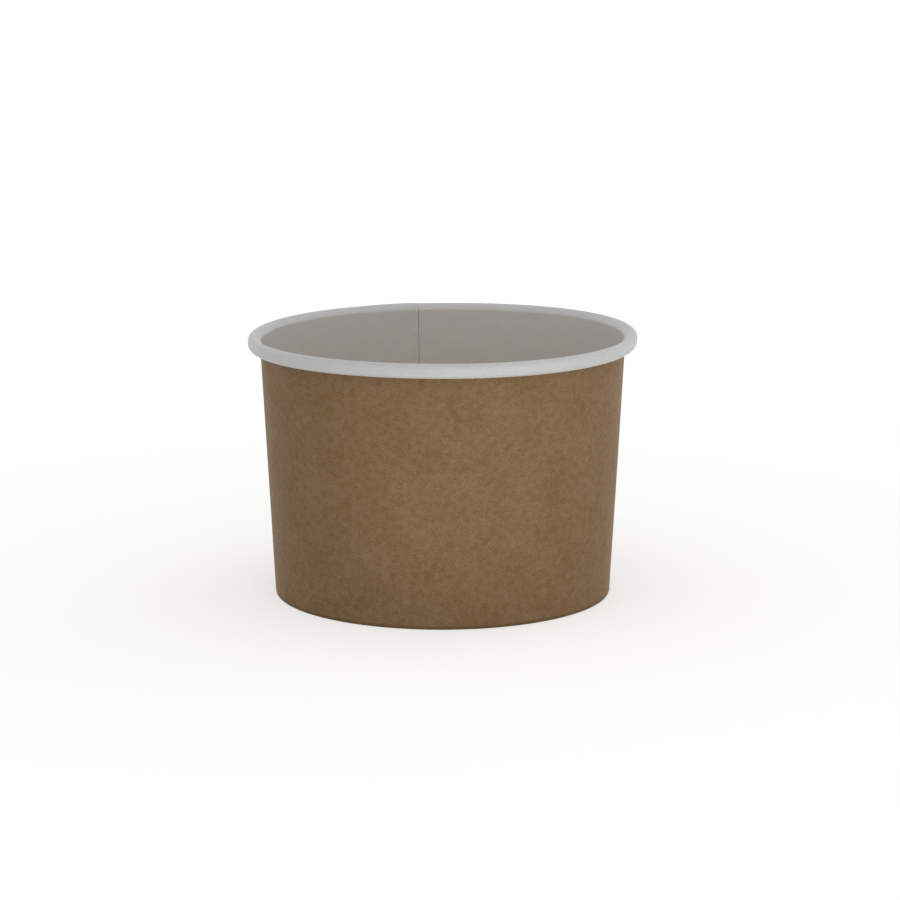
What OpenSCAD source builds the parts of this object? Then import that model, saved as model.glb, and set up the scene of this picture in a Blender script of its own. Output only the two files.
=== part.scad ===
// Paper ice cream tub, in two pieces of coated board: a side wall wrapped from one fan-shaped blank,
// with its top edge rolled outwards into a rim and its foot turned in as a hem, and a flat base
// drawn with a skirt that the hem holds.
// Millimetres, +Z up. The origin is the middle of the foot, on the surface that the tub stands on.
// The front of the tub faces -Y.

/* [Tub] */
// Diameter over the rolled rim
rim_d = 90; // [86:0.5:100]
// Diameter of the foot, over the wall's outer face
foot_d = 78; // [66:0.5:79]
// Height from the foot to the top of the rim
tub_h = 61; // [40:0.5:110]

/* [Board] */
// Thickness of the side wall's board
wall_t = 0.38; // [0.3:0.01:0.5]
// Thickness of the base's board
base_t = 0.32; // [0.24:0.01:0.45]
// Thickness of the melted coating between two sealed boards
seal_t = 0.03; // [0.02:0.01:0.08]

/* [Rolled rim] */
// Width of the roll, from the face inside the mouth to the outermost point
roll_w = 3.13; // [2.8:0.01:3.6]
// Height of the roll
roll_h = 3.46; // [3.2:0.01:4.5]
// Length of the board's end that is tucked up inside the roll
tuck_h = 0.6; // [0.2:0.05:0.75]
// Room between that tucked end and the wall
tuck_gap = 0.1; // [0.05:0.01:0.2]

/* [Foot] */
// Height of the air space under the base
recess_h = 7.5; // [5:0.1:12]
// Outer radius of the bend between the base's disc and its skirt
bend_r = 1; // [0.6:0.05:2]
// Room between that bend and the edge of the hem turned up inside the skirt
hem_gap = 0.75; // [0.3:0.05:3]
// Room between the skirt's lower edge and the fold at the foot
skirt_gap = 0.4; // [0.1:0.05:1]
// Depth by which the fold at the foot is pressed flat
foot_flat = 0.06; // [0.02:0.01:0.12]

/* [Side seam] */
// Direction of the blank's inner cut edge, counted from +X towards +Y
seam_angle = 98.4; // [0:0.1:359]
// Width of the sealed lap
lap_w = 8; // [5:0.5:12]
// What the pressed lap adds to the thickness of the wall
lap_step = 0.25; // [0.15:0.01:0.3]
// Width of the slope where the blank's outer end climbs onto the lap
climb_w = 1.2; // [0.8:0.1:2.5]
// Width of the groove left beside the inner cut edge
groove_w = 0.25; // [0.15:0.01:0.4]
// Depth of that groove
groove_depth = 0.2; // [0.1:0.01:0.25]

/* [Hidden] */
$fn = 96;
kraft = "#8a6d4b";
white_board = "#d2d1cc";

// Radii of the roll's upper half: the white face is outside and the kraft face is inside
roll_r = roll_w / 2;
roll_kraft_r = roll_r - wall_t;

// The wall leans so that it runs into the roll without a kink: this is the line through the foot
// that is tangent to the upper half's kraft face
roll_reach = rim_d / 2 - roll_r - foot_d / 2;
roll_rise = tub_h - roll_r;
roll_span = norm([roll_reach, roll_rise]);
taper = atan2(roll_reach, roll_rise) - asin(roll_kraft_r / roll_span);

// From here on, x runs outwards from the wall's kraft face and y runs up along it

// Centre of the roll's upper half
roll_y = sqrt(roll_span ^ 2 - roll_kraft_r ^ 2);
// Lower half of the roll, small enough for the board's end to tuck in beside the wall
curl_r = (roll_kraft_r + roll_r - tuck_gap) / 2;
curl_x = roll_kraft_r + roll_r - curl_r;
curl_y = roll_y + roll_r + curl_r - roll_h;
// Straight board between the two halves, on the outside
roll_leg = roll_y - curl_y;

// Fold at the foot, round the pocket that takes the base's skirt
pocket_w = base_t + 2 * seal_t;
fold_r = pocket_w / 2 + wall_t;
fold_x = -wall_t - pocket_w / 2;
fold_y = (fold_r - foot_flat + fold_x * sin(taper)) / cos(taper);

// Base: the bend is tangent to the disc and to the skirt
skirt_x = -wall_t - seal_t;
bend_z = recess_h + base_t - bend_r;
bend_y = (bend_z + (skirt_x - bend_r) * sin(taper)) / cos(taper);
bend_radius = foot_d / 2 + (skirt_x - bend_r) * cos(taper) + bend_y * sin(taper);
skirt_h = bend_y - fold_y - skirt_gap;
// Straight board of the hem, inside the skirt
hem_leg = bend_y - fold_y - hem_gap;

// The lap and its climb as angles round the tub's axis, at the middle of the wall
mid_wall_r = foot_d / 2 + roll_y / 2 * sin(taper);
lap_angle = lap_w / mid_wall_r * 180 / PI;
climb_angle = climb_w / mid_wall_r * 180 / PI;
climb_slope = atan(lap_step / climb_w);

// Places a section that is drawn along the wall
module on_wall() {
    translate([foot_d / 2, 0]) rotate(-taper) children();
}

// Half ring above its centre, with a straight leg of the same board hanging from each end
module arch(outer_r, inner_r, left_leg, right_leg) {
    difference() {
        circle(outer_r);
        circle(inner_r);
        translate([-2 * outer_r, -2 * outer_r]) square([4 * outer_r, 2 * outer_r]);
    }
    translate([-outer_r, -left_leg]) square([outer_r - inner_r, left_leg]);
    translate([inner_r, -right_leg]) square([outer_r - inner_r, right_leg]);
}

// The same with the half ring below its centre and the legs standing up
module trough(outer_r, inner_r, left_leg, right_leg) {
    mirror([0, 1]) arch(outer_r, inner_r, left_leg, right_leg);
}

// Takes away what would reach below the surface that the tub stands on
module pressed_flat() {
    difference() {
        children();
        translate([0, -tub_h]) square([rim_d, tub_h]);
    }
}

// The board's section, in three bends whose straight legs run into each other: the hem and the fold
// at the foot, the wall and the upper half of the roll, and the lower half with its tucked end
module wall_section() {
    pressed_flat() on_wall() {
        translate([fold_x, fold_y]) trough(fold_r, fold_r - wall_t, hem_leg, hem_leg);
        translate([roll_kraft_r, roll_y]) arch(roll_r, roll_kraft_r, roll_y - hem_leg / 2, roll_leg);
        translate([curl_x, curl_y]) trough(curl_r, curl_r - wall_t, tuck_h, roll_leg);
    }
}

// Extra thickness of the lap on the board's kraft face, from just below the hem's edge round the
// foot and up the wall until it is under the tucked end. It is rooted in the middle of the board.
module lap_section() {
    hem_part = hem_leg - wall_t;
    wall_part = curl_y + tuck_h / 2 - fold_y;
    pressed_flat() on_wall()
        translate([fold_x, fold_y]) trough(fold_r + lap_step, fold_r - wall_t / 2, hem_part, wall_part);
}

// Everything under the plane that the blank's outer end climbs along
module under_climb() {
    reach = 2 * (rim_d + tub_h);
    rotate([0, 0, seam_angle - climb_angle])
        translate([foot_d / 2, 0, 0])
            rotate([0, taper, 0])
                rotate([0, 0, -climb_slope])
                    translate([-reach, -reach / 2, -reach / 2]) cube(reach);
}

// The blank's outer end, sealed over its inner end: it climbs on one side and ends in a cut edge
module lap() {
    intersection() {
        rotate([0, 0, seam_angle - 1.5 * climb_angle])
            rotate_extrude(angle = lap_angle + 1.5 * climb_angle) lap_section();
        under_climb();
    }
}

// Section of the groove: up the wall's white face from the base, and over the roll
module groove_section() {
    on_wall() translate([roll_kraft_r, roll_y])
        arch(roll_r + groove_depth, roll_r - groove_depth, roll_y - bend_y, roll_leg / 2);
}

// Groove where the outer end lifts off beside the inner cut edge
module seam_groove() {
    rotate([90, 0, seam_angle]) linear_extrude(groove_w, center = true) groove_section();
}

// The side wall, kraft outside and white inside and over the roll
module side_wall() {
    color(kraft) difference() {
        union() {
            rotate_extrude() wall_section();
            lap();
        }
        seam_groove();
    }
}

// The base's section: half of the disc, then the bend and the skirt drawn round the bend's centre
module base_section() {
    far = 2 * bend_r;
    translate([0, recess_h]) square([bend_radius, base_t]);
    translate([bend_radius, bend_z]) {
        intersection() {
            difference() {
                circle(bend_r);
                circle(bend_r - base_t);
            }
            translate([0, -far]) square([far, 2 * far]);
            rotate(-taper) translate([-far, 0]) square([2 * far, far]);
        }
        rotate(-taper) translate([bend_r - base_t, -skirt_h]) square([base_t, skirt_h]);
    }
}

// The base, a flat disc with its edge drawn down into a skirt
module base() {
    color(white_board) rotate_extrude() base_section();
}

side_wall();
base();
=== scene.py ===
"""Looks of a paper ice cream tub, kraft brown outside and white inside and over its rolled rim.

The side wall is one sheet of board, worked out as a surface of two parameters: the way along the board's
section, from the hem round the foot, up the wall and round the rolled rim, and the way round the tub.
The sheet laps over itself at the side seam, as the real blank does. The base is a second sheet.
The tub's sizes are in millimetres. The meshes, the frame and the studio are in metres.
"""

import logging
import math
from collections.abc import Mapping, Sequence
from dataclasses import dataclass
from enum import IntEnum
from typing import Any

import bpy
import numpy as np
from mathutils import Matrix, Vector


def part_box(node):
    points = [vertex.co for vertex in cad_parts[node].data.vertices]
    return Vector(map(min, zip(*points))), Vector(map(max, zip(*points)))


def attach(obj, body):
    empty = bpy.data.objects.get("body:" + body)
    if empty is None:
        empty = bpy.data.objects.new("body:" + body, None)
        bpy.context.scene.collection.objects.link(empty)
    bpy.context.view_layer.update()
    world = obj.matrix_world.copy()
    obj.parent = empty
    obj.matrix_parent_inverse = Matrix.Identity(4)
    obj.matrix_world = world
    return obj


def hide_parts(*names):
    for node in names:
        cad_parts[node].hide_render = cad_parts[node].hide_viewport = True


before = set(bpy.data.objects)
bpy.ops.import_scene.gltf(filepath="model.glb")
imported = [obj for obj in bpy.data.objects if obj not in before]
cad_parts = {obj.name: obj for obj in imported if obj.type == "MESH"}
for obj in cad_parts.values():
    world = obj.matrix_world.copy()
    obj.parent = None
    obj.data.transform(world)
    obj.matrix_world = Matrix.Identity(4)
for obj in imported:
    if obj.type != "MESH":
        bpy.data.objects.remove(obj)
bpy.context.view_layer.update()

MM = 0.001
BODY = "root"
FLAT_MAP = "flat_blank"
WAY = "way_along_section"
# Faces that meet at a larger angle have a sharp edge between them
SHARP_ANGLE = math.radians(40.0)
# The value that Blender's noise swings round
NOISE_MIDDLE = 0.5

Array = np.ndarray
Colour = tuple[float, float, float, float]

log = logging.getLogger("ice_cream_tub")


class BoardFace(IntEnum):
    """The three surfaces of a board, in the order of a piece's material slots."""

    WHITE = 0
    KRAFT = 1
    CUT = 2


class BaseSide(IntEnum):
    """The base's two faces, as the way from the board's middle along its section's normal."""

    TOP = -1
    UNDERSIDE = 1


def linear(hex_colour: str) -> Colour:
    """Turns an sRGB hex colour into the linear colour that shaders take.

    Args:
        hex_colour: A colour such as "#8a6d4b".

    Returns:
        Linear red, green and blue, and an alpha of 1.
    """
    srgb = np.array([int(hex_colour[i : i + 2], 16) for i in (1, 3, 5)]) / 255
    curve = np.where(srgb <= 0.04045, srgb / 12.92, ((srgb + 0.055) / 1.055) ** 2.4)
    return (*curve.tolist(), 1.0)


def per_metre(size_mm: float) -> float:
    """Gives the texture scale whose cells have a real size, on coordinates in metres."""
    return 1.0 / (size_mm * MM)


def smooth(value: Array, start: float | Array, end: float | Array) -> Array:
    """Rises from 0 at start to 1 at end, along 3t squared less 2t cubed.

    Args:
        value: Where to read the curve.
        start: Value at which it leaves 0.
        end: Value at which it reaches 1.

    Returns:
        The curve at each value.
    """
    t = np.clip((value - start) / (end - start), 0.0, 1.0)
    return t * t * (3 - 2 * t)


def add_node(
    tree: bpy.types.NodeTree, kind: str, inputs: Mapping[Any, Any] | None = None, **settings: Any
) -> bpy.types.Node:
    """Adds one node to a tree, with its settings, values and links.

    Args:
        tree: The tree that takes the node.
        kind: Blender's name for the kind of shader node, without the prefix that all of them have.
        inputs: Socket name or index to a value, or to the output socket that is linked to it.
        **settings: The node's own properties.

    Returns:
        The new node.
    """
    node = tree.nodes.new("ShaderNode" + kind)
    for name, value in settings.items():
        setattr(node, name, value)
    for socket, value in (inputs or {}).items():
        if isinstance(value, bpy.types.NodeSocket):
            tree.links.new(value, node.inputs[socket])
        else:
            node.inputs[socket].default_value = value
    return node


def empty_material(name: str) -> tuple[bpy.types.Material, bpy.types.NodeTree]:
    """Makes a material whose node tree is empty.

    Args:
        name: The material's name.

    Returns:
        The material and its tree.
    """
    material = bpy.data.materials.new(name)
    material.use_nodes = True
    material.node_tree.nodes.clear()
    return material, material.node_tree


def new_object(name: str, data: bpy.types.ID) -> bpy.types.Object:
    """Makes an object and links it to the scene.

    Args:
        name: The object's name.
        data: Its mesh, lamp or camera.

    Returns:
        The object, at the origin.
    """
    thing = bpy.data.objects.new(name, data)
    bpy.context.scene.collection.objects.link(thing)
    return thing


def soft_light(name: str, size: tuple[float, float], power: float) -> bpy.types.Object:
    """Makes a rectangular lamp that the camera doesn't see.

    Args:
        name: The lamp's name.
        size: Its width and depth.
        power: Its power in watts.

    Returns:
        The lamp's object, at the origin and shining down.
    """
    light = bpy.data.lights.new(name, "AREA")
    light.shape = "RECTANGLE"
    light.size, light.size_y = size
    light.energy = power
    lamp = new_object(name, light)
    lamp.visible_camera = False
    return lamp


@dataclass(frozen=True)
class KraftPaper:
    """Unbleached kraft paper, calendered on the machine: brown long-fibre sheet with a dull sheen.

    The eye sees a fine grain, faint flocs and clouds where the fibres lie thicker, and single fibres.
    Paler spots are greyer, as loose fibres scatter white light. The pressed surface has a broad, weak
    gloss that greys the brown where the light mirrors. Painted shade darkens the fold at the foot, where
    it turns under.
    """

    # Way along the section to the middle of the fold at the foot
    fold_mm: float
    deep: str = "#785728"
    pale: str = "#9e8469"
    # Colour of the painted shade along the fold at the foot
    painted_fold_shade: str = "#54401f"
    cloud_mm: float = 9.0
    floc_mm: float = 1.6
    # Real grain is finer than the picture's pixels, about 0.23 mm: it is drawn coarse enough to show
    grain_mm: float = 0.24
    # Octaves of the clouds, the flocs and the grain, and the strength of each octave over the one before
    details: tuple[float, float, float] = (2.0, 2.0, 3.0)
    octave_share: float = 0.55
    # Length and width. Real fibres are about 0.03 mm wide: they are drawn wide enough to show
    fibre_mm: tuple[float, float] = (2.2, 0.22)
    fibre_turns: tuple[float, float] = (1.1, -0.5)
    # How far from the noise's middle a fibre ends
    fibre_band: float = 0.07
    # Shares of the clouds, the flocs, the grain and each lie of fibres in the tone
    shares: tuple[float, float, float, float] = (0.2, 0.3, 0.85, 0.07)
    # How far from its middle the tone is all deep or all pale
    spread: float = 0.2
    roughness: float = 0.52
    ior: float = 1.5
    gloss: float = 0.07
    relief_mm: float = 0.008
    relief_share: float = 0.5
    # Painted shade along the fold at the foot: its half width, where it is full and where it ends, and
    # how strong it is
    painted_fold_shade_mm: tuple[float, float] = (0.75, 1.1)
    painted_fold_shade_share: float = 0.4

    def material(self) -> bpy.types.Material:
        """Builds the shader from clouds, flocs, grain and fibres on the flat blank.

        Returns:
            The kraft face's material.
        """
        material, tree = empty_material("kraft_paper")
        flat = add_node(tree, "UVMap", uv_map=FLAT_MAP).outputs["UV"]
        parts = [
            add_node(
                tree,
                "TexNoise",
                {
                    "Vector": flat,
                    "Scale": per_metre(size),
                    "Detail": detail,
                    "Roughness": self.octave_share,
                },
            ).outputs["Fac"]
            for size, detail in zip((self.cloud_mm, self.floc_mm, self.grain_mm), self.details)
        ]
        parts += [self.fibres(tree, flat, turn) for turn in self.fibre_turns]
        tone: Any = 0.0
        for part, share in zip(parts, (*self.shares, self.shares[-1])):
            sum_of_parts = {0: part, 1: share, 2: tone}
            tone = add_node(tree, "Math", sum_of_parts, operation="MULTIPLY_ADD").outputs["Value"]
        # The noises spread little round their middles, so the outer part of the range is cut off
        middle = sum(self.shares) * NOISE_MIDDLE
        brown = add_node(
            tree,
            "MapRange",
            {"Value": tone, "From Min": middle - self.spread, "From Max": middle + self.spread},
        )
        plain = add_node(
            tree,
            "Mix",
            {0: brown.outputs["Result"], 6: linear(self.deep), 7: linear(self.pale)},
            data_type="RGBA",
        )
        # Painted shade along the fold at the foot: the colour darkens towards the fold's middle line
        way = add_node(tree, "Attribute", attribute_name=WAY).outputs["Fac"]
        off_fold = add_node(tree, "Math", {0: way, 1: self.fold_mm * MM}, operation="SUBTRACT")
        from_fold = add_node(tree, "Math", {0: off_fold.outputs["Value"]}, operation="ABSOLUTE")
        fold_shaded = add_node(
            tree,
            "MapRange",
            {
                "Value": from_fold.outputs["Value"],
                "From Min": self.painted_fold_shade_mm[0] * MM,
                "From Max": self.painted_fold_shade_mm[1] * MM,
                "To Min": self.painted_fold_shade_share,
                "To Max": 0.0,
            },
        )
        colour = add_node(
            tree,
            "Mix",
            {0: fold_shaded.outputs["Result"], 6: plain.outputs[2], 7: linear(self.painted_fold_shade)},
            data_type="RGBA",
        )
        bump = add_node(
            tree,
            "Bump",
            {"Height": tone, "Strength": self.relief_share, "Distance": self.relief_mm * MM},
        )
        shader = add_node(
            tree,
            "BsdfPrincipled",
            {
                "Base Color": colour.outputs[2],
                "Roughness": self.roughness,
                "IOR": self.ior,
                "Specular IOR Level": self.gloss,
                "Normal": bump.outputs["Normal"],
            },
        )
        add_node(tree, "OutputMaterial", {"Surface": shader.outputs["BSDF"]})
        return material

    def fibres(
        self, tree: bpy.types.NodeTree, flat: bpy.types.NodeSocket, turn: float
    ) -> bpy.types.NodeSocket:
        """Draws one lie of fibres: thin bands where a stretched noise crosses its middle value.

        Args:
            tree: The material's tree.
            flat: Coordinates on the flat blank, in metres.
            turn: Angle of the fibres on the blank, in radians.

        Returns:
            A socket that is 1 along the fibres and 0 between them.
        """
        length, width = self.fibre_mm
        # One unit of these coordinates is one fibre long and one fibre wide
        lie = add_node(
            tree,
            "Mapping",
            {"Vector": flat, "Rotation": (0.0, 0.0, turn), "Scale": (length * MM, width * MM, 1.0)},
            vector_type="TEXTURE",
        )
        noise = add_node(
            tree, "TexNoise", {"Vector": lie.outputs["Vector"], "Scale": 1.0, "Detail": 1.0}
        )
        off_middle = add_node(
            tree, "Math", {0: noise.outputs["Fac"], 1: NOISE_MIDDLE}, operation="SUBTRACT"
        )
        distance = add_node(tree, "Math", {0: off_middle.outputs["Value"]}, operation="ABSOLUTE")
        band = add_node(
            tree,
            "MapRange",
            {
                "Value": distance.outputs["Value"],
                "From Max": self.fibre_band,
                "To Min": 1.0,
                "To Max": 0.0,
            },
        )
        return band.outputs["Result"]


@dataclass(frozen=True)
class CoatedBoard:
    """Bleached board with a thin extruded polyethylene coating: even off-white, satin.

    The eye sees a fine grain and a faint mottle of the board under the coating. The single wall's white
    is painted warmer, as painted light for the light it would let through from its brown back. The roll,
    several boards deep, is neutral.
    """

    # Way along the section to the beginning of the roll
    roll_mm: float
    # The wall's white is warmed with painted light, for light through its brown back; the roll's white is
    # the board's own
    wall_white_with_painted_light: str = "#d4d0ca"
    roll_white: str = "#d4d4d3"
    mottle_mm: float = 3.5
    # Real grain is finer: it is drawn about as coarse as the picture's pixels, so that it shows
    grain_mm: float = 0.2
    detail: float = 1.0
    # Shares of the mottle and the grain in the tone, and how far from its middle the tone is cut off
    shares: tuple[float, float] = (0.06, 0.5)
    spread: float = 0.14
    # How much darker and lighter than its white the board is at the ends of that spread
    depth: float = 0.21
    roughness: float = 0.45
    ior: float = 1.5
    relief_mm: float = 0.008
    relief_share: float = 0.4
    # Length of board, from the roll's beginning, over which the wall's white with its painted light
    # changes into the roll's
    change_mm: float = 0.8

    def material(self) -> bpy.types.Material:
        """Builds the shader from the mottle and the grain.

        Returns:
            The white face's material.
        """
        material, tree = empty_material("coated_white_board")
        flat = add_node(tree, "UVMap", uv_map=FLAT_MAP).outputs["UV"]
        way = add_node(tree, "Attribute", attribute_name=WAY).outputs["Fac"]
        on_roll = add_node(
            tree,
            "MapRange",
            {
                "Value": way,
                "From Min": self.roll_mm * MM,
                "From Max": (self.roll_mm + self.change_mm) * MM,
            },
        )
        white = add_node(
            tree,
            "Mix",
            {0: on_roll.outputs["Result"], 6: linear(self.wall_white_with_painted_light), 7: linear(self.roll_white)},
            data_type="RGBA",
        )
        tone: Any = 0.0
        for size, share in zip((self.mottle_mm, self.grain_mm), self.shares):
            noise = add_node(
                tree,
                "TexNoise",
                {"Vector": flat, "Scale": per_metre(size), "Detail": self.detail},
            )
            sum_of_parts = {0: noise.outputs["Fac"], 1: share, 2: tone}
            tone = add_node(tree, "Math", sum_of_parts, operation="MULTIPLY_ADD").outputs["Value"]
        middle = sum(self.shares) * NOISE_MIDDLE
        shade = add_node(
            tree,
            "MapRange",
            {
                "Value": tone,
                "From Min": middle - self.spread,
                "From Max": middle + self.spread,
                "To Min": 1 - self.depth,
                "To Max": 1 + self.depth,
            },
        )
        colour = add_node(
            tree,
            "VectorMath",
            {0: white.outputs[2], "Scale": shade.outputs["Result"]},
            operation="SCALE",
        )
        bump = add_node(
            tree,
            "Bump",
            {"Height": tone, "Strength": self.relief_share, "Distance": self.relief_mm * MM},
        )
        shader = add_node(
            tree,
            "BsdfPrincipled",
            {
                "Base Color": colour.outputs["Vector"],
                "Roughness": self.roughness,
                "IOR": self.ior,
                "Normal": bump.outputs["Normal"],
            },
        )
        add_node(tree, "OutputMaterial", {"Surface": shader.outputs["BSDF"]})
        return material


@dataclass(frozen=True)
class CutFibre:
    """Raw cut edge of kraft board: matt, fibrous, a little darker than the face."""

    dark: str = "#5b4526"
    pale: str = "#8c7450"
    # Real fibre ends are finer: they are drawn coarse enough to show
    fibre_mm: float = 0.25
    roughness: float = 0.85

    def material(self) -> bpy.types.Material:
        """Builds the shader from one fine noise.

        Returns:
            The cut edge's material.
        """
        material, tree = empty_material("cut_kraft_edge")
        place = add_node(tree, "TexCoord").outputs["Object"]
        noise = add_node(tree, "TexNoise", {"Vector": place, "Scale": per_metre(self.fibre_mm)})
        colour = add_node(
            tree,
            "Mix",
            {0: noise.outputs["Fac"], 6: linear(self.dark), 7: linear(self.pale)},
            data_type="RGBA",
        )
        shader = add_node(
            tree,
            "BsdfPrincipled",
            {"Base Color": colour.outputs[2], "Roughness": self.roughness},
        )
        add_node(tree, "OutputMaterial", {"Surface": shader.outputs["BSDF"]})
        return material


@dataclass(frozen=True)
class Stretch:
    """One stretch of a board's section: its length, its turn to the left in radians, and its steps."""

    length: float
    turn: float
    steps: int


@dataclass(frozen=True)
class Wave:
    """A wave round the tub: how many times it goes round, its size, its phase and its twist upwards."""

    times: int
    size: float
    phase: float = 0.0
    twist: float = 0.0

    def at(self, angle: Array, rise: float | Array = 0.0) -> Array:
        """Gives the size times the cosine of: times the angle, plus twist times the rise, plus phase."""
        return self.size * np.cos(self.times * angle + self.twist * rise + self.phase)


@dataclass(frozen=True)
class BoardLine:
    """The middle line of a board's section, with its unit normal towards the right of the way."""

    x: Array
    y: Array
    normal_x: Array
    normal_y: Array
    way: Array

    @classmethod
    def follow(
        cls, start: tuple[float, float], heading: float, stretches: Sequence[Stretch]
    ) -> "BoardLine":
        """Follows straight and round stretches, each tangent to the one before.

        At a distance d along a stretch of length L that turns by A, the heading is h + A d / L. A
        straight stretch goes d along its heading. A round one goes L / A times (sine, minus cosine) of
        the heading, less the same at its start.

        Args:
            start: First point.
            heading: Direction of the first stretch, in radians from x towards y.
            stretches: The stretches in order.

        Returns:
            The line through all the stretches' steps.
        """
        point, done = np.array(start), 0.0
        points, headings, ways = [point[None]], [np.array([heading])], [np.zeros(1)]
        for stretch in stretches:
            share = np.linspace(0.0, 1.0, stretch.steps + 1)[1:]
            turned = heading + stretch.turn * share
            if stretch.turn:
                swing = np.stack([np.sin(turned) - np.sin(heading), np.cos(heading) - np.cos(turned)], 1)
                step = swing * stretch.length / stretch.turn
            else:
                step = stretch.length * share[:, None] * np.array([np.cos(heading), np.sin(heading)])
            points.append(point + step)
            headings.append(turned)
            ways.append(done + stretch.length * share)
            point, heading, done = point + step[-1], heading + stretch.turn, done + stretch.length
        line, angle = np.concatenate(points), np.concatenate(headings)
        return cls(line[:, 0], line[:, 1], np.sin(angle), -np.cos(angle), np.concatenate(ways))


@dataclass
class PieceMesh:
    """Gathers the vertices, faces and flat places of one piece until its mesh is made."""

    name: str

    def __post_init__(self) -> None:
        """Starts with nothing gathered."""
        self.points: list[Array] = []
        self.flats: list[Array] = []
        self.ways: list[Array] = []
        self.corners: list[Array] = []
        self.slots: list[Array] = []
        self.count = 0

    def grid(self, points: Array, flats: Array, ways: Array) -> Array:
        """Adds a grid of points.

        Args:
            points: Places in millimetres, shaped rows by columns by 3.
            flats: Places on the flat blank in millimetres, shaped rows by columns by 2.
            ways: Distance of each row along the board's section, in millimetres.

        Returns:
            The points' indices, shaped rows by columns.
        """
        index = self.count + np.arange(points[..., 0].size).reshape(points.shape[:2])
        self.points.append(points.reshape(-1, 3))
        self.flats.append(flats.reshape(-1, 2))
        self.ways.append(np.repeat(ways, points.shape[1]))
        self.count += index.size
        return index

    def quads(self, index: Array, face: BoardFace, flip: bool = False) -> None:
        """Fills a grid of indices with quads.

        Args:
            index: Indices shaped rows by columns.
            face: The surface that the quads belong to.
            flip: Whether the quads look the other way than rows crossed with columns.
        """
        four = [index[:-1, :-1], index[1:, :-1], index[1:, 1:], index[:-1, 1:]]
        self.faces(np.stack([c.ravel() for c in four], 1), face, flip)

    def fans(self, coarse: Array, fine: Array, face: BoardFace, flip: bool = False) -> None:
        """Joins a row of points to a row with several times as many steps.

        Each coarse step takes the fine steps beside it: its first end takes those of the first half,
        its second end takes the others, and one triangle on the coarse step closes the middle.

        Args:
            coarse: Indices of the coarse row.
            fine: Indices of the fine row, which starts and ends beside the coarse one.
            face: The surface that the triangles belong to.
            flip: Whether the triangles look the other way than the coarse row crossed with the way to
                the fine one.
        """
        times = (len(fine) - 1) // (len(coarse) - 1)
        near = fine[:-1].reshape(-1, times)
        far = fine[1:].reshape(-1, times)
        half = times // 2
        first = np.repeat(coarse[:-1, None], half, 1)
        last = np.repeat(coarse[1:, None], times - half, 1)
        hub = np.concatenate([first, last], 1)
        three = np.stack([hub.ravel(), far.ravel(), near.ravel()], 1)
        middle = np.stack([coarse[:-1], coarse[1:], far[:, half - 1]], 1)
        self.faces(np.concatenate([three, middle]), face, flip)

    def faces(self, corners: Array, face: BoardFace, flip: bool = False) -> None:
        """Adds faces of one size, given by their corners' indices, shaped faces by corners."""
        self.corners.append(corners[:, ::-1] if flip else corners)
        self.slots.append(np.full(len(corners), int(face)))

    def build(self, materials: Sequence[bpy.types.Material]) -> bpy.types.Object:
        """Makes the mesh and its object, at the origin.

        Args:
            materials: One material for each of the board's surfaces.

        Returns:
            The object, linked to the scene.
        """
        points = np.concatenate(self.points) * MM
        sizes = np.concatenate([np.full(len(c), c.shape[1]) for c in self.corners])
        loops = np.concatenate([c.ravel() for c in self.corners])
        mesh = bpy.data.meshes.new(self.name)
        mesh.vertices.add(len(points))
        mesh.vertices.foreach_set("co", points.astype(np.float32).ravel())
        mesh.loops.add(len(loops))
        mesh.loops.foreach_set("vertex_index", loops.astype(np.int32))
        mesh.polygons.add(len(sizes))
        mesh.polygons.foreach_set("loop_start", (np.cumsum(sizes) - sizes).astype(np.int32))
        mesh.polygons.foreach_set("material_index", np.concatenate(self.slots).astype(np.int32))
        mesh.polygons.foreach_set("use_smooth", np.ones(len(sizes), bool))
        flat = mesh.uv_layers.new(name=FLAT_MAP)
        places = (np.concatenate(self.flats) * MM)[loops]
        flat.uv.foreach_set("vector", places.astype(np.float32).ravel())
        way = mesh.attributes.new(WAY, "FLOAT", "POINT")
        way.data.foreach_set("value", (np.concatenate(self.ways) * MM).astype(np.float32))
        mesh.validate()
        mesh.update()
        mesh.set_sharp_from_angle(angle=SHARP_ANGLE)
        for material in materials:
            mesh.materials.append(material)
        return new_object(self.name, mesh)


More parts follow.
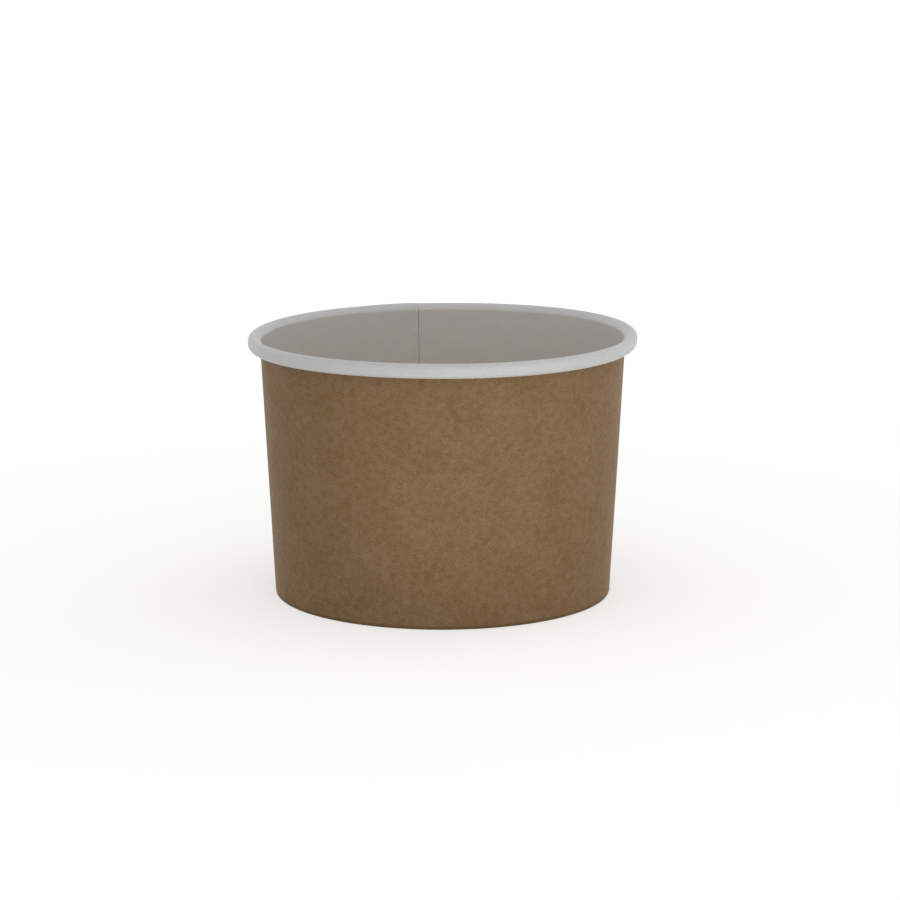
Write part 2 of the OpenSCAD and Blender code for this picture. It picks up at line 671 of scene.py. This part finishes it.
@dataclass
class SideWall:
    """The side wall: a fan-shaped blank, wrapped, lapped, rolled at the rim and hemmed at the foot."""

    rim_r: float
    height: float
    foot_r: float = 39.0
    board_t: float = 0.38
    # Room in the fold for the base's skirt, depth pressed off the fold, and the hem's straight part
    pocket_w: float = 0.38
    foot_flat: float = 0.06
    hem_leg: float = 5.52
    roll_w: float = 3.13
    roll_h: float = 3.3
    # The roll leaves the wall in a tight bend and slopes outwards before it goes round: radii of the
    # board's middle line in these two bends, and how far each turns
    roll_radii: tuple[float, float] = (0.6, 3.6)
    roll_turns: tuple[float, float] = (math.radians(36.0), math.radians(24.0))
    # Length of the end tucked up inside the roll, its room beside the wall, and spare room at the lap
    tuck_h: float = 0.35
    tuck_gap: float = 0.1
    lap_room: float = 0.1
    # Direction of the inner cut edge, from +X towards +Y
    seam_angle: float = math.radians(98.1)
    lap_w: float = 8.0
    # What the pressed lap adds to the wall's thickness, and the melted coating between its boards
    lap_step: float = 0.25
    seal_t: float = 0.02
    # Widths over which the outer end climbs onto the lap, and the inner end regains its full thickness
    climb_w: float = 1.2
    fade_w: float = 1.6
    # Groove beside the inner cut edge: its width, its flat share, and the share it loses on the roll
    groove_w: float = 0.11
    groove_floor: float = 0.1
    groove_closing: float = 0.6
    # Pressed into the roll, the lap stands out less, and its far side runs out slowly
    roll_step: float = 0.13
    roll_fade_w: float = 6.0
    # Ways from the roll's beginning between which that pressing comes in, and between which it goes out
    pressed_in: tuple[float, float] = (-1.5, 0.5)
    pressed_out: tuple[float, float] = (4.0, 6.5)
    # Least height over the table of the white face, in the outer end, the inner end and elsewhere, and of
    # the inner end's kraft face
    white_ground: tuple[float, float, float] = (0.2, 0.42, 0.3)
    inner_ground: float = 0.21
    # Ribs on the hem, and the distances from its edge and from the fold between which they come in
    knurl_pitch: float = 1.5
    knurl_depth: float = 0.1
    knurl_edge: tuple[float, float] = (0.3, 1.1)
    knurl_foot: tuple[float, float] = (0.6, 1.4)
    # How the wall strays from round: a lean and ovals that grow towards the rim, and low twisted ripples.
    # The base holds the foot round, so they come in between two heights.
    leans: tuple[Wave, ...] = (Wave(1, 0.12), Wave(2, 0.07, 3.7), Wave(3, 0.04, 2.1))
    ripples: tuple[Wave, ...] = (Wave(5, 0.018, 0.0, 2.2), Wave(8, 0.0126, 1.3, -3.1))
    stray_z: tuple[float, float] = (8.0, 20.0)
    # How the rim strays from a level circle: a slight tilt and two shallow waves
    rim_waves: tuple[Wave, ...] = (
        Wave(1, 0.2941, 0.311),
        Wave(2, 0.08, -math.pi / 2),
        Wave(3, 0.1082, -0.9828),
    )
    # The mesh's steps along the section, across the parts of the lap, and round the tub
    hem_steps: int = 10
    fold_steps: int = 14
    wall_steps: int = 34
    roll_steps: tuple[int, int, int] = (6, 7, 16)
    leg_steps: int = 2
    curl_steps: int = 14
    tuck_steps: int = 2
    lap_steps: int = 8
    climb_steps: int = 6
    column_w: float = 1.0
    # Columns on the hem for each column of the wall
    knurl_steps: int = 4
    name: str = "side_wall_board"

    @classmethod
    def from_frame(cls) -> "SideWall":
        """Takes the rim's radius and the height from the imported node."""
        low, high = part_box("side_wall")
        return cls(rim_r=(high.x - low.x) / 2 / MM, height=high.z / MM)

    def __post_init__(self) -> None:
        """Works out the wall's lean and the centres of its bends, along and across the wall."""
        self.roll_r = self.roll_w / 2
        self.roll_kraft_r = self.roll_r - self.board_t
        reach, rise = self.rim_r - self.roll_r - self.foot_r, self.height - self.roll_r
        span = math.hypot(reach, rise)
        self.taper = math.atan2(reach, rise) - math.asin(self.roll_kraft_r / span)
        self.roll_y = math.sqrt(span**2 - self.roll_kraft_r**2)
        self.fold_r = self.pocket_w / 2 + self.board_t
        self.fold_x = -self.board_t - self.pocket_w / 2
        lift = self.fold_r - self.foot_flat + self.fold_x * math.sin(self.taper)
        self.fold_y = lift / math.cos(self.taper)
        self.mid_r = self.foot_r + self.roll_y / 2 * math.sin(self.taper)
        self.round_w = 2 * math.pi * self.mid_r
        self.pressed_t = (self.board_t + self.lap_step - self.seal_t) / 2
        self.shape_roll()
        fold_w = math.pi * (self.fold_r - self.board_t / 2)
        self.fold_way = self.hem_leg + fold_w / 2
        self.roll_way = self.hem_leg + fold_w + self.roll_start - self.fold_y

    def shape_roll(self) -> None:
        """Works out the radius of the roll's last bend, where the roll starts and where it turns down.

        A bend of radius r from heading a to heading b, both counted outwards from the wall, goes
        r (cos a - cos b) out and r (sin b - sin a) up. The last bend takes up what is left of the roll's
        width, and the roll starts where its highest point comes level with the tub's height.
        """
        middle = self.board_t / 2
        ends = np.array([0.0, self.roll_turns[0], sum(self.roll_turns)])
        out, up = 1 - np.cos(ends), np.sin(ends)
        left = self.roll_w - self.board_t - np.dot(self.roll_radii, np.diff(out))
        self.last_r = left / (2 - out[-1])
        self.roll_fall = np.dot(self.roll_radii, np.diff(up)) - self.last_r * up[-1]
        top = math.pi / 2 - self.taper
        faces = np.array([*self.roll_radii, self.last_r]) + middle
        top_out = np.dot(faces, np.diff([*out, 1 - math.cos(top)])) - self.board_t
        top_up = np.dot(faces, np.diff([*up, math.sin(top)]))
        self.roll_start = (self.height + top_out * math.sin(self.taper)) / math.cos(self.taper) - top_up

    def line(self, tuck_gap: float) -> BoardLine:
        """Follows the board's middle from the hem's edge to the end tucked inside the roll.

        Args:
            tuck_gap: Room between the tucked end and the wall.

        Returns:
            The section's line: x out from the wall's kraft face, y up along the wall, and normals
            towards the kraft face.
        """
        middle = self.board_t / 2
        curl_r = (self.roll_kraft_r + self.roll_r - tuck_gap) / 2
        curl_y = self.roll_y + self.roll_r + curl_r - self.roll_h
        roll_leg = self.roll_start + self.roll_fall - curl_y
        half = math.pi
        turns = (*self.roll_turns, half - sum(self.roll_turns))
        radii = (*self.roll_radii, self.last_r)
        bends = zip(turns, radii, self.roll_steps)
        stretches = (
            Stretch(self.hem_leg, 0.0, self.hem_steps),
            Stretch(half * (self.fold_r - middle), half, self.fold_steps),
            Stretch(self.roll_start - self.fold_y, 0.0, self.wall_steps),
            *(Stretch(turn * radius, -turn, steps) for turn, radius, steps in bends),
            Stretch(roll_leg, 0.0, self.leg_steps),
            Stretch(half * (curl_r - middle), -half, self.curl_steps),
            Stretch(self.tuck_h, 0.0, self.tuck_steps),
        )
        start = (self.fold_x - self.fold_r + middle, self.fold_y + self.hem_leg)
        return BoardLine.follow(start, -half / 2, stretches)

    def columns(self) -> Array:
        """Places the blank's columns: even all round, and closer where the lap climbs and fades.

        Returns:
            Distances round the tub from the inner cut edge, at the middle of the wall.
        """
        fine, climbing = self.lap_steps + 1, self.climb_steps + 1
        faded = self.lap_w + self.fade_w
        climb, groove = self.round_w - self.climb_w, self.round_w - self.groove_w
        parts = (
            np.linspace(0.0, self.lap_w, fine),
            np.linspace(self.lap_w, faded, fine),
            np.arange(faded, climb, self.column_w)[1:],
            np.linspace(climb, groove, climbing),
            np.linspace(groove, self.round_w, fine),
            np.linspace(self.round_w, self.round_w + self.lap_w, fine),
        )
        # Rounded to a millionth of a millimetre, so that a place where two parts meet counts once
        return np.unique(np.round(np.concatenate(parts), 6))

    def surface(self, face: BoardFace, around: Array) -> tuple[Array, Array, Array]:
        """Works out one face of the sheet.

        A point is the section's middle line, moved along its normal by half the board, and turned round
        the tub's axis by the distance round over the wall's mean radius. In the lap the inner end is
        pressed thinner and the outer end lies on it. Beside the inner cut edge the outer end's white face
        drops into a groove, which narrows where the lap is pressed into the roll. On the roll both ends
        move outwards by the lap's step there, because the inner end is outermost. Points at the fold are
        lifted to the least height of their face over the table.

        Args:
            face: The white face or the kraft face.
            around: Distances round the tub from the inner cut edge.

        Returns:
            The points, shaped rows by columns by 3, their places on the flat blank, and each row's way.
        """
        line = self.line(self.tuck_gap)
        roomy = self.line(self.tuck_gap + self.lap_step + self.lap_room)
        inner = 1 - smooth(around, self.lap_w, self.lap_w + self.fade_w)
        climb = smooth(around, self.round_w - self.climb_w, self.round_w)
        doubled = np.maximum(inner, climb)
        on_roll = line.way[:, None] - self.roll_way
        rolled = smooth(on_roll, *self.pressed_in) * (1 - smooth(on_roll, *self.pressed_out))
        groove_w = self.groove_w * (1 - self.groove_closing * rolled)
        slot = smooth(around, self.round_w - groove_w, self.round_w - self.groove_floor * groove_w)
        outwards = -self.roll_step * rolled
        if face is BoardFace.WHITE:
            swollen = 1 - smooth(around, self.lap_w / 2, self.lap_w + self.roll_fade_w)
            offset = slot * (self.pressed_t + self.seal_t) - self.board_t / 2
            offset = offset + outwards * np.maximum(swollen, slot)
            outer_z, inner_z, single_z = self.white_ground
            ground = np.where(climb > 0.5, outer_z, np.where(inner > 0.5, inner_z, single_z))
        else:
            offset = self.board_t / 2 + climb * self.lap_step + outwards * doubled
            offset = offset - inner * (self.board_t - self.pressed_t)
            offset = offset - self.knurl(line, around)
            ground = np.where((inner > 0.5) & (around <= self.lap_w), self.inner_ground, 0.0)
        x = line.x[:, None] + doubled * (roomy.x - line.x)[:, None] + line.normal_x[:, None] * offset
        y = line.y[:, None] + doubled * (roomy.y - line.y)[:, None] + line.normal_y[:, None] * offset
        radius = self.foot_r + x * math.cos(self.taper) + y * math.sin(self.taper)
        z = np.maximum(y * math.cos(self.taper) - x * math.sin(self.taper), ground)
        angle = self.seam_angle + around / self.mid_r
        radius = radius + self.unevenness(angle, z)
        z = z + self.rim_wave(angle) * (z / self.height) ** 2
        points = np.stack([radius * np.cos(angle), radius * np.sin(angle), z], -1)
        return points, self.flat(line.way, around), line.way

    def knurl(self, line: BoardLine, around: Array) -> Array:
        """Presses ribs into the hem: a raised cosine round the tub, faded out at both ends of the hem.

        Args:
            line: The section's line.
            around: Distances round the tub from the inner cut edge.

        Returns:
            Depth of the ribs, shaped rows by columns.
        """
        way = line.way[:, None]
        band = smooth(way, *self.knurl_edge) * smooth(self.hem_leg - way, *self.knurl_foot)
        return band * self.knurl_depth * (0.5 - 0.5 * np.cos(2 * math.pi * around / self.knurl_pitch))

    def unevenness(self, angle: Array, z: Array) -> Array:
        """Gives how far the wall strays from round.

        The lean and the ovals grow with the height, the ripples twist with it, and all of them come in
        above the base.

        Args:
            angle: Angle round the tub's axis.
            z: Height above the table.

        Returns:
            Distance outwards in millimetres.
        """
        rise = z / self.height
        lean = sum(wave.at(angle) for wave in self.leans)
        ripple = sum(wave.at(angle, rise) for wave in self.ripples)
        return (rise * lean + ripple) * smooth(z, *self.stray_z)

    def rim_wave(self, angle: Array) -> Array:
        """Gives the rim's height over a level circle in millimetres, as the sum of its waves."""
        return sum(wave.at(angle) for wave in self.rim_waves)

    def flat(self, way: Array, around: Array) -> Array:
        """Unrolls the wrapped sheet into the flat, fan-shaped blank.

        A cone unrolls to a fan: a point's distance from the cone's tip stays, and its angle shrinks by
        the sine of the lean.

        Args:
            way: Distances along the section from the hem's edge.
            around: Distances round the tub from the inner cut edge.

        Returns:
            Places on the blank, shaped rows by columns by 2.
        """
        tip = self.foot_r / math.sin(self.taper)
        fan = (around / self.mid_r - math.pi) * math.sin(self.taper)
        far = (tip + way - self.hem_leg)[:, None]
        return np.stack([far * np.sin(fan), far * np.cos(fan) - tip], -1)

    def build(self, materials: Sequence[bpy.types.Material]) -> bpy.types.Object:
        """Builds the sheet as one closed mesh, with more columns on the hem for its ribs.

        Args:
            materials: White, kraft and cut edge.

        Returns:
            The side wall's object.
        """
        piece = PieceMesh(self.name)
        around = self.columns()
        steps = np.arange((len(around) - 1) * self.knurl_steps + 1) / self.knurl_steps
        fine_around = np.interp(steps, np.arange(len(around)), around)
        white = piece.grid(*self.surface(BoardFace.WHITE, around))
        hem = self.hem_steps
        ribbed = piece.grid(*(rows[:hem] for rows in self.surface(BoardFace.KRAFT, fine_around)))
        plain = piece.grid(*(rows[hem:] for rows in self.surface(BoardFace.KRAFT, around)))
        piece.quads(white, BoardFace.WHITE)
        piece.quads(ribbed, BoardFace.KRAFT, flip=True)
        piece.fans(plain[0], ribbed[-1], BoardFace.KRAFT, flip=True)
        piece.quads(plain, BoardFace.KRAFT, flip=True)
        piece.fans(white[0], ribbed[0], BoardFace.CUT)
        piece.quads(np.stack([white[-1], plain[-1]]), BoardFace.CUT)
        kraft_ends = [np.concatenate([ribbed[:, end], plain[:, end]]) for end in (0, -1)]
        piece.quads(np.stack([white[:, 0], kraft_ends[0]]), BoardFace.CUT)
        piece.quads(np.stack([white[:, -1], kraft_ends[1]]), BoardFace.CUT, flip=True)
        return piece.build(materials)


@dataclass
class Base:
    """The base: a disc of white board with its edge drawn down into a skirt."""

    top_z: float
    skirt_z: float
    taper: float
    edge_r: float
    board_t: float = 0.32
    bend_r: float = 1.0
    # How far the disc sinks at its middle, and the wave that this has round the disc
    sag: float = 0.12
    sag_wave: Wave = Wave(2, 0.04, 0.8)
    # The mesh's steps along the section, and its columns
    disc_steps: int = 24
    bend_steps: int = 10
    skirt_steps: int = 6
    columns: int = 180
    name: str = "base_board"

    @classmethod
    def from_frame(cls, taper: float) -> "Base":
        """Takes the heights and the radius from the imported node, and the skirt's lean from the wall."""
        low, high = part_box("base")
        return cls(high.z / MM, low.z / MM, taper, (high.x - low.x) / 2 / MM)

    def line(self) -> BoardLine:
        """Follows the board's middle from the disc's centre over the bend and down the skirt.

        Returns:
            The section's line: x out from the axis, y up, and normals towards the underside.
        """
        middle_r = self.bend_r - self.board_t / 2
        turn = math.pi / 2 + self.taper
        disc = self.edge_r - self.bend_r
        fall = self.top_z - self.bend_r * (1 + math.sin(self.taper)) - self.skirt_z
        stretches = (
            Stretch(disc, 0.0, self.disc_steps),
            Stretch(turn * middle_r, -turn, self.bend_steps),
            Stretch(fall / math.cos(self.taper), 0.0, self.skirt_steps),
        )
        return BoardLine.follow((0.0, self.top_z - self.board_t / 2), 0.0, stretches)

    def surface(self, side: BaseSide) -> tuple[Array, Array, Array]:
        """Works out one face: the middle line moved by half the board and turned round the axis.

        Both faces sink by the sag and by its wave, which grows with the radius, times one less the square
        of the radius over the disc's.

        Args:
            side: The top or the underside.

        Returns:
            The points without the centre, shaped rows by columns by 3, their flat places, and each
            row's way.
        """
        line = self.line()
        angle = np.linspace(0.0, 2 * math.pi, self.columns, endpoint=False)
        away = int(side) * self.board_t / 2
        radius = (line.x + away * line.normal_x)[1:, None]
        height = (line.y + away * line.normal_y)[1:, None]
        inside = np.clip(1 - (radius / (self.edge_r - self.bend_r)) ** 2, 0.0, 1.0)
        height = height - inside * (self.sag + self.sag_wave.at(angle) * radius / self.edge_r)
        points = np.stack(
            [radius * np.cos(angle), radius * np.sin(angle), height * np.ones_like(angle)], -1
        )
        way = line.way[1:, None]
        return points, np.stack([way * np.cos(angle), way * np.sin(angle)], -1), line.way[1:]

    def build(self, materials: Sequence[bpy.types.Material]) -> bpy.types.Object:
        """Builds the base as one closed mesh with a point at the middle of each face.

        Args:
            materials: White for the top, white for the underside, and the cut edge.

        Returns:
            The base's object.
        """
        piece = PieceMesh(self.name)
        rings = {}
        for side, face in ((BaseSide.TOP, BoardFace.WHITE), (BaseSide.UNDERSIDE, BoardFace.KRAFT)):
            flip = side is BaseSide.UNDERSIDE
            points, flats, ways = self.surface(side)
            ring = piece.grid(points, flats, ways)
            ring = np.concatenate([ring, ring[:, :1]], 1)
            centre = np.array([[[0.0, 0.0, points[0, :, 2].mean()]]])
            hub = piece.grid(centre, np.zeros((1, 1, 2)), np.zeros(1))[0, 0]
            fan = np.stack([np.full(self.columns, hub), ring[0, :-1], ring[0, 1:]], 1)
            piece.faces(fan, face, flip)
            piece.quads(ring, face, flip)
            rings[face] = ring
        edge = np.stack([rings[BoardFace.WHITE][-1], rings[BoardFace.KRAFT][-1]])
        piece.quads(edge, BoardFace.CUT)
        return piece.build(materials)


@dataclass(frozen=True)
class Lamp:
    """A soft box that faces the tub: where it stands in degrees and metres, its size, and its level.

    The level is what a white surface facing the lamp would send back, where 1 is white. That is the
    lamp's power over the square of pi times the distance.
    """

    name: str
    azimuth: float
    elevation: float
    distance: float
    size: tuple[float, float]
    level: float

    def add(self, target: Vector) -> None:
        """Adds the lamp, looking at the target.

        Args:
            target: The point that it faces.
        """
        turn, rise = math.radians(self.azimuth), math.radians(self.elevation)
        away = Vector(
            (math.sin(turn) * math.cos(rise), -math.cos(turn) * math.cos(rise), math.sin(rise))
        )
        lamp = soft_light(self.name, self.size, self.level * (math.pi * self.distance) ** 2)
        lamp.location = target + away * self.distance
        lamp.rotation_euler = (-away).to_track_quat("-Z", "Y").to_euler()


@dataclass(frozen=True)
class FloorPanel:
    """A light panel just above the floor that shines upwards, placed in degrees and metres.

    The level is what the panel itself sends out, where 1 is white. That is its power over pi times its
    area.
    """

    name: str
    azimuth: float
    near: float
    far: float
    width: float
    level: float
    height: float = 0.004

    def add(self) -> None:
        """Adds the panel on its side of the tub, between its near and far edges."""
        turn, depth = math.radians(self.azimuth), self.far - self.near
        panel = soft_light(self.name, (self.width, depth), self.level * math.pi * self.width * depth)
        middle = (self.near + self.far) / 2
        panel.location = (math.sin(turn) * middle, -math.cos(turn) * middle, self.height)
        panel.rotation_euler = (math.pi, 0.0, turn)


@dataclass
class Studio:
    """A pale floor, soft lamps, an even surround and the camera at the photograph's angle."""

    target: Vector
    floor_hex: str = "#f0f0ee"
    floor_half: float = 12.0
    # Light that the floor adds where it is seen, near the tub and far from it, and the distances from the
    # tub's axis between which it rises
    floor_lift: tuple[float, float] = (0.45, 0.7)
    floor_fade: tuple[float, float] = (0.15, 0.6)
    # Strength of the even light from all round
    surround: float = 0.57
    lamps: tuple[Lamp, ...] = (
        Lamp("back_box", 125.0, 35.0, 1.3, (0.8, 0.8), 0.043),
        Lamp("front_box", 0.0, 45.0, 1.3, (0.8, 0.8), 0.05),
        Lamp("low_right_strip", 40.0, -1.2, 0.42, (0.28, 0.04), 0.112),
    )
    # They light the wall and the roll's underside from below, so the inside stays darker
    panels: tuple[FloorPanel, ...] = (
        FloorPanel("front_panel", 0.0, 0.06, 0.14, 0.12, 0.509),
        FloorPanel("right_panel", 40.0, 0.12, 0.45, 0.3, 0.22),
    )
    # The camera was fitted to the outline of the tub in the picture
    camera_at: tuple[float, float, float] = (0.00175, -0.7705, 0.1895)
    pitch_deg: float = -11.473
    roll_deg: float = -0.054
    lens_mm: float = 135.2
    sensor_mm: float = 36.0

    def build(self) -> None:
        """Adds the floor, the lamps, the surround and the camera."""
        self.floor()
        for lamp in self.lamps:
            lamp.add(self.target)
        for panel in self.panels:
            panel.add()
        self.world()
        self.camera()
        bpy.context.scene.view_settings.view_transform = "Standard"

    def seen(self, tree: bpy.types.NodeTree) -> bpy.types.NodeSocket:
        """Gives 1 on rays from the camera, off gloss and through glass, and 0 on the others.

        Args:
            tree: The tree that takes the nodes.

        Returns:
            The socket with that number.
        """
        path = add_node(tree, "LightPath").outputs
        seen = path["Is Camera Ray"]
        for ray in ("Is Glossy Ray", "Is Transmission Ray"):
            either = add_node(tree, "Math", {0: seen, 1: path[ray]}, operation="MAXIMUM")
            seen = either.outputs["Value"]
        return seen

    def floor(self) -> None:
        """Adds the floor: pale and matt, lifted to white where it is seen, and open from below."""
        material, tree = empty_material("pale_floor")
        matt = add_node(tree, "BsdfDiffuse", {"Color": linear(self.floor_hex)})
        place = add_node(tree, "TexCoord").outputs["Object"]
        distance = add_node(tree, "VectorMath", {0: place}, operation="LENGTH")
        more = add_node(
            tree,
            "MapRange",
            {
                "Value": distance.outputs["Value"],
                "From Min": self.floor_fade[0],
                "From Max": self.floor_fade[1],
                "To Min": self.floor_lift[0],
                "To Max": self.floor_lift[1],
            },
        )
        strength = add_node(
            tree, "Math", {0: self.seen(tree), 1: more.outputs["Result"]}, operation="MULTIPLY"
        )
        lift = add_node(tree, "Emission", {"Strength": strength.outputs[0]})
        lit = add_node(tree, "AddShader", {0: matt.outputs[0], 1: lift.outputs[0]})
        below = add_node(tree, "NewGeometry").outputs["Backfacing"]
        clear = add_node(tree, "BsdfTransparent")
        surface = add_node(tree, "MixShader", {0: below, 1: lit.outputs[0], 2: clear.outputs[0]})
        add_node(tree, "OutputMaterial", {"Surface": surface.outputs[0]})
        half = self.floor_half
        corners = [(-half, -half, 0.0), (half, -half, 0.0), (half, half, 0.0), (-half, half, 0.0)]
        mesh = bpy.data.meshes.new("floor")
        mesh.from_pydata(corners, [], [(0, 1, 2, 3)])
        mesh.materials.append(material)
        new_object("floor", mesh)

    def world(self) -> None:
        """Sets the surround: an even light, white where it is seen."""
        world = bpy.data.worlds.new("surround")
        world.use_nodes = True
        tree = world.node_tree
        tree.nodes.clear()
        strength = add_node(
            tree,
            "MapRange",
            {"Value": self.seen(tree), "To Min": self.surround, "To Max": 1.0},
        )
        sky = add_node(
            tree,
            "Background",
            {"Color": linear("#ffffff"), "Strength": strength.outputs["Result"]},
        )
        add_node(tree, "OutputWorld", {"Surface": sky.outputs["Background"]})
        bpy.context.scene.world = world

    def camera(self) -> None:
        """Adds the camera and makes it the scene's."""
        data = bpy.data.cameras.new("camera")
        data.lens = self.lens_mm
        data.sensor_width = self.sensor_mm
        camera = new_object("camera", data)
        tilt = Matrix.Rotation(math.radians(90 + self.pitch_deg), 4, "X")
        roll = Matrix.Rotation(math.radians(self.roll_deg), 4, "Z")
        camera.matrix_world = Matrix.Translation(self.camera_at) @ tilt @ roll
        bpy.context.scene.camera = camera


def put_in_frame(piece: bpy.types.Object, node: str) -> None:
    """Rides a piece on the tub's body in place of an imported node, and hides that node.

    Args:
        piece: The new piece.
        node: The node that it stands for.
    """
    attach(piece, BODY)
    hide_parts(node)
    log.info("%s stands for %s: %d faces", piece.name, node, len(piece.data.polygons))


def main() -> None:
    """Builds the tub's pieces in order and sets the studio."""
    logging.basicConfig(level=logging.INFO, format="%(name)s: %(message)s")
    wall = SideWall.from_frame()
    kraft = KraftPaper(wall.fold_way).material()
    white = CoatedBoard(wall.roll_way).material()
    cut = CutFibre().material()
    put_in_frame(wall.build([white, kraft, cut]), "side_wall")
    base = Base.from_frame(wall.taper)
    put_in_frame(base.build([white, white, cut]), "base")
    Studio(target=Vector((0.0, 0.0, wall.height / 2 * MM))).build()


if __name__ == "__main__":
    main()
